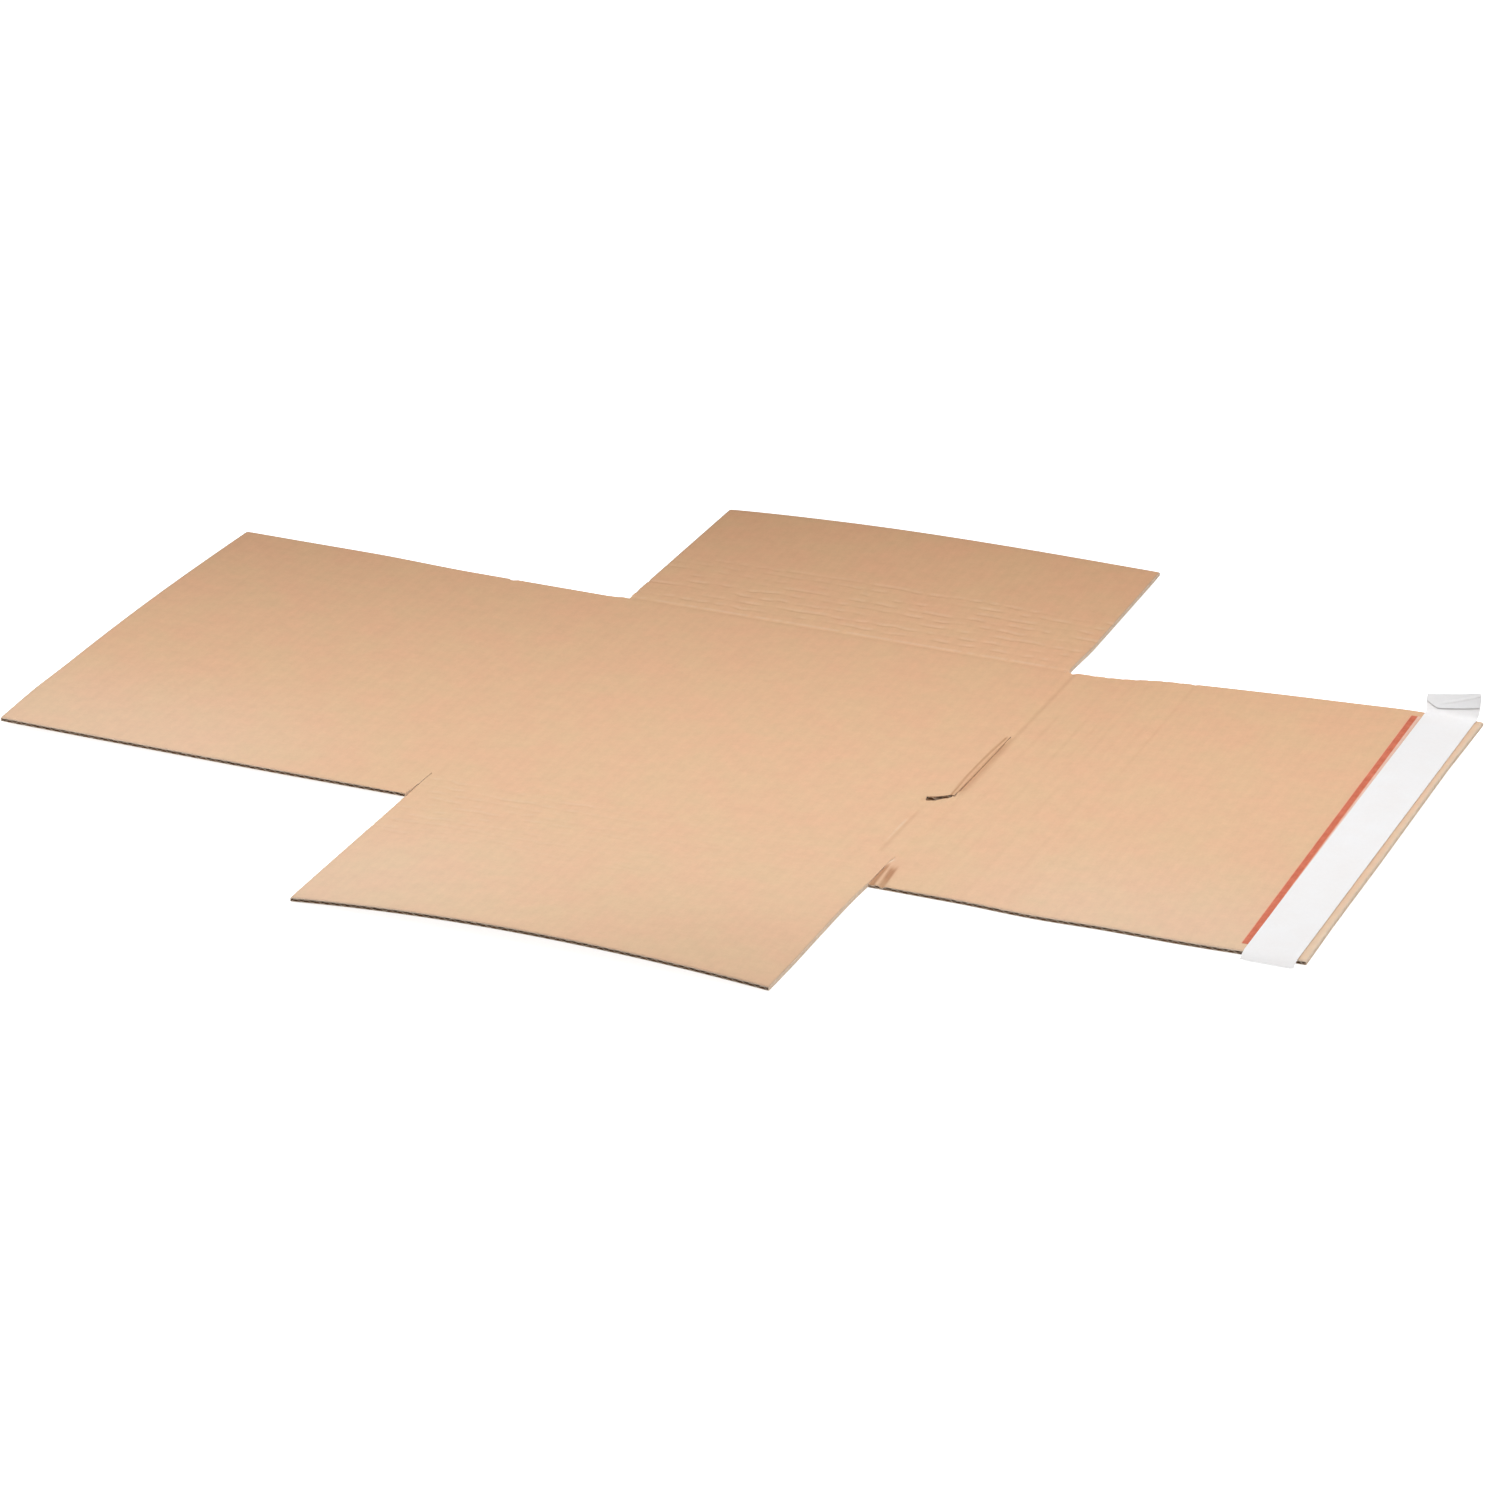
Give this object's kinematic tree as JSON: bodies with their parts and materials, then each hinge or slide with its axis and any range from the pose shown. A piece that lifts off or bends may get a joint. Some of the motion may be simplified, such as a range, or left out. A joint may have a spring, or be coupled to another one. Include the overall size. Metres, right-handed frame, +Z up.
{
  "type": "flattened cardboard mailing box",
  "caption": "Open, flat cross-shaped corrugated mailing box with folding flaps, height scores, self-seal strip and tear band.",
  "frame": {"origin": "middle of the underside of the middle panel, on the surface that the box lies on", "axes": "+X to the panel with the self-seal strip, +Y to the back flap, +Z up through the board"},
  "size_m": [0.811, 0.6315, 0.0301],
  "materials": {
    "board": "matte brown kraft",
    "adhesive": "tacky hot-melt film",
    "liner_paper": "smooth silicone-coated paper",
    "tear_film": "satin red film"
  },
  "bodies": {
    "base": {"middle_panel": "board"},
    "left": {"left_panel": "board"},
    "right": {"right_panel": "board", "adhesive_strip": "adhesive", "release_liner": "liner_paper", "tear_band": "tear_film"},
    "back": {"back_flap": "board"},
    "front": {"front_flap": "board"}
  },
  "joints": [
    {"name": "left_fold", "type": "hinge", "parent": "base", "child": "left", "pos_m": [-0.145, 0, 0.003], "axis": [0, 1, 0], "range_deg": [0, 85]},
    {"name": "right_fold", "type": "hinge", "parent": "base", "child": "right", "pos_m": [0.145, 0, 0.003], "axis": [0, -1, 0], "range_deg": [0, 85]},
    {"name": "back_fold", "type": "hinge", "parent": "base", "child": "back", "pos_m": [0, 0.1615, 0.003], "axis": [1, 0, 0], "range_deg": [0, 90]},
    {"name": "front_fold", "type": "hinge", "parent": "base", "child": "front", "pos_m": [0, -0.126, 0.003], "axis": [-1, 0, 0], "range_deg": [0, 90]}
  ]
}
